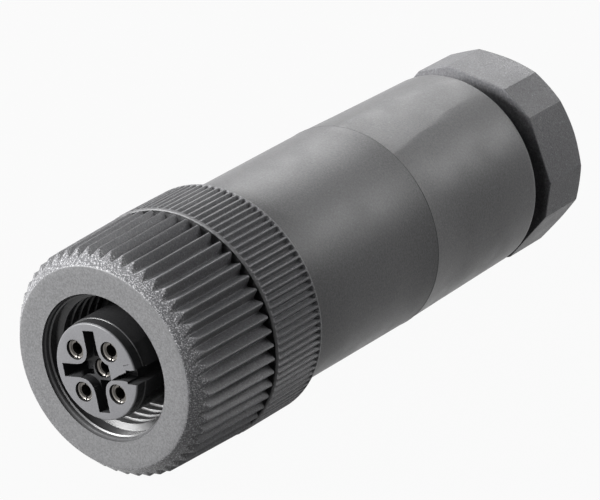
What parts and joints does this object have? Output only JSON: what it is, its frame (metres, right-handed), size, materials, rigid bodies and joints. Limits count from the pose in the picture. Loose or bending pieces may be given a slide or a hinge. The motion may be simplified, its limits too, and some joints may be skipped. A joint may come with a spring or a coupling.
{
  "type": "circular cable connector",
  "caption": "Straight female M12 cable connector: knurled coupling nut, socket insert with screw terminals, plain sleeve with wrench flats and a screwed cable gland.",
  "frame": {"origin": "centre of the insulator's mating face", "axes": "+Y along the connector from the mating face to the cable, +Z through a wrench flat"},
  "size_m": [0.0198, 0.0562, 0.0198],
  "materials": {
    "black_plastic": "glass-filled polyamide, moulded, satin, nearly black",
    "insert_plastic": "moulded thermoplastic insulator, satin black",
    "contact_brass": "turned, nickel plated",
    "screw_steel": "nickel plated",
    "seal_rubber": "moulded nitrile rubber",
    "cage_plastic": "moulded polyamide"
  },
  "bodies": {
    "carrier": {"contact_carrier": "black_plastic", "housing_seal": "seal_rubber", "socket_insert": "insert_plastic", "face_seal": "seal_rubber", "terminal_block": "insert_plastic", "contact_1": "contact_brass", "contact_2": "contact_brass", "contact_3": "contact_brass", "contact_4": "contact_brass", "contact_5": "contact_brass"},
    "coupling_nut": {"coupling_nut": "black_plastic"},
    "housing": {"housing_sleeve": "black_plastic", "cable_seal": "seal_rubber"},
    "cage": {"clamping_cage": "cage_plastic"},
    "gland_nut": {"gland_nut": "black_plastic"},
    "terminal_screw_1": {"terminal_screw_1": "screw_steel"},
    "terminal_screw_2": {"terminal_screw_2": "screw_steel"},
    "terminal_screw_3": {"terminal_screw_3": "screw_steel"},
    "terminal_screw_4": {"terminal_screw_4": "screw_steel"},
    "terminal_screw_5": {"terminal_screw_5": "screw_steel"}
  },
  "joints": [
    {"name": "coupling_spin", "type": "hinge", "parent": "carrier", "child": "coupling_nut", "pos_m": [0, 0.0093, 0], "axis": [0, 1, 0], "continuous": true},
    {"name": "housing_pull_off", "type": "slide", "parent": "carrier", "child": "housing", "axis": [0, 1, 0], "range_m": [0, 0.025]},
    {"name": "gland_advance", "type": "slide", "parent": "housing", "child": "cage", "axis": [0, -1, 0], "range_m": [-0.001, 0.0015], "deforming": ["cable_seal"]},
    {"name": "gland_turn", "type": "hinge", "parent": "cage", "child": "gland_nut", "pos_m": [0, 0.0533, 0], "axis": [0, -1, 0], "range_deg": [-360, 540]},
    {"name": "terminal_screw_travel_1", "type": "slide", "parent": "carrier", "child": "terminal_screw_1", "axis": [-0.3795, 0, -0.9252], "range_m": [0, 0.0008]},
    {"name": "terminal_screw_travel_2", "type": "slide", "parent": "carrier", "child": "terminal_screw_2", "axis": [0.9252, 0, -0.3795], "range_m": [0, 0.0008]},
    {"name": "terminal_screw_travel_3", "type": "slide", "parent": "carrier", "child": "terminal_screw_3", "axis": [0.3795, 0, 0.9252], "range_m": [0, 0.0008]},
    {"name": "terminal_screw_travel_4", "type": "slide", "parent": "carrier", "child": "terminal_screw_4", "axis": [-0.9252, 0, 0.3795], "range_m": [0, 0.0008]},
    {"name": "terminal_screw_travel_5", "type": "slide", "parent": "carrier", "child": "terminal_screw_5", "axis": [0.3859, 0, -0.9225], "range_m": [0, 0.0008]}
  ],
  "couplings": [
    {"joint": "gland_turn", "follows": "gland_advance", "rad_per_m": 6283.2}
  ]
}
